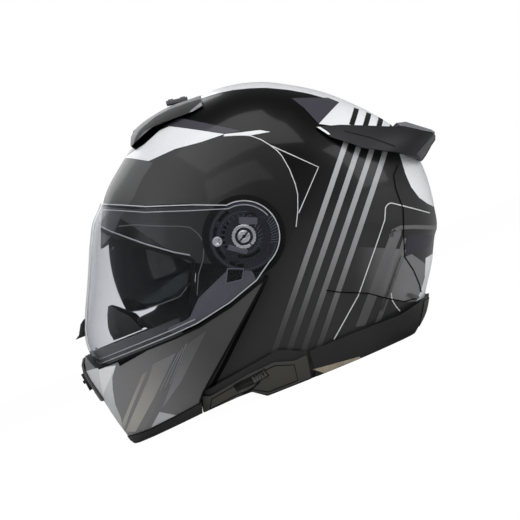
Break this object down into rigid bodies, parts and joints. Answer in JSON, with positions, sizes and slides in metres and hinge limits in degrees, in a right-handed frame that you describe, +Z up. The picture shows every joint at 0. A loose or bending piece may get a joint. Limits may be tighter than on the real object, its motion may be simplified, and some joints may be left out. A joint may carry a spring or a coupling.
{
  "type": "modular motorcycle helmet",
  "caption": "Flip-up road helmet with clear visor, drop-down sun visor, hinged chin bar, rear wing, top vent and padded lining.",
  "frame": {"origin": "centre of the bounding box at the level of the lower rim", "axes": "+Z up, -Y the way the face looks, +X the wearer's left"},
  "size_m": [0.256, 0.3642, 0.2698],
  "materials": {
    "shell_paint": "gloss black paint with grey and white graphics",
    "grey_paint": "satin grey paint",
    "satin_plastic": "satin",
    "black_trim": "matte grained",
    "rubber_seal": "matte",
    "clear_lens": "clear gloss",
    "smoked_lens": "smoked gloss",
    "foam": "moulded bead foam",
    "lining_fabric": "brushed knit",
    "neck_fabric": "woven",
    "webbing": "woven webbing",
    "steel": "satin steel",
    "red_plastic": "satin"
  },
  "bodies": {
    "shell": {"outer_shell": "shell_paint", "eyeport_gasket": "rubber_seal", "side_skirt_left": "black_trim", "side_skirt_right": "black_trim", "rear_skirt": "black_trim", "rear_exhaust_left": "black_trim", "rear_exhaust_right": "black_trim", "rear_spoiler": "satin_plastic", "spoiler_cap": "grey_paint", "top_vent": "satin_plastic", "foam_liner": "foam", "crown_liner": "lining_fabric", "cheek_pad_left": "lining_fabric", "cheek_pad_right": "lining_fabric", "neck_roll": "neck_fabric", "chin_strap_left": "webbing", "chin_strap_right": "webbing", "buckle_base": "steel", "hinge_pin_left": "steel", "hinge_pin_right": "steel"},
    "chin": {"chin_bar": "grey_paint", "chin_trim": "black_trim", "chin_foam": "foam", "chin_vent": "satin_plastic", "breath_deflector": "rubber_seal", "pivot_plate_left": "black_trim", "pivot_ring_left": "steel", "pivot_knob_left": "steel", "pivot_screw_left": "steel", "pivot_plate_right": "black_trim", "pivot_ring_right": "steel", "pivot_knob_right": "steel", "pivot_screw_right": "steel"},
    "visor_body": {"visor": "clear_lens", "visor_tab": "black_trim"},
    "sun_visor_body": {"sun_visor": "smoked_lens"},
    "sun_slider_body": {"sun_visor_slider": "satin_plastic"},
    "top_slider_body": {"top_vent_slider": "black_trim"},
    "chin_slider_body": {"chin_vent_slider": "black_trim"},
    "button_body": {"release_button": "red_plastic"},
    "lever_body": {"buckle_lever": "red_plastic"}
  },
  "joints": [
    {"name": "chin_flip", "type": "hinge", "parent": "shell", "child": "chin", "pos_m": [0, 0.00687, 0.144], "axis": [-1, 0, 0], "range_deg": [0, 80]},
    {"name": "visor_open", "type": "hinge", "parent": "chin", "child": "visor_body", "pos_m": [0, 0.00687, 0.144], "axis": [1, 0, 0], "range_deg": [-50, 0]},
    {"name": "sun_visor_slide", "type": "slide", "parent": "shell", "child": "sun_slider_body", "axis": [-0.1602, -0.974, -0.1603], "range_m": [0, 0.016]},
    {"name": "sun_visor_swing", "type": "hinge", "parent": "shell", "child": "sun_visor_body", "pos_m": [0, 0.00387, 0.127], "axis": [-1, 0, 0], "range_deg": [0, 46]},
    {"name": "top_vent_slide", "type": "slide", "parent": "shell", "child": "top_slider_body", "axis": [0, 0.987, -0.1609], "range_m": [0, 0.005]},
    {"name": "chin_vent_slide", "type": "slide", "parent": "chin", "child": "chin_slider_body", "axis": [0, -0.1197, 0.9928], "range_m": [0, 0.005]},
    {"name": "release_press", "type": "slide", "parent": "chin", "child": "button_body", "axis": [0, 0, 1], "range_m": [0, 0.003], "stiffness_N_per_m": 400},
    {"name": "buckle_lever_lift", "type": "hinge", "parent": "shell", "child": "lever_body", "pos_m": [-0.009, -0.03013, 0.0106], "axis": [0, -1, 0], "range_deg": [0, 60]}
  ],
  "couplings": [
    {"joint": "sun_visor_swing", "follows": "sun_visor_slide", "rad_per_m": 50.178}
  ]
}
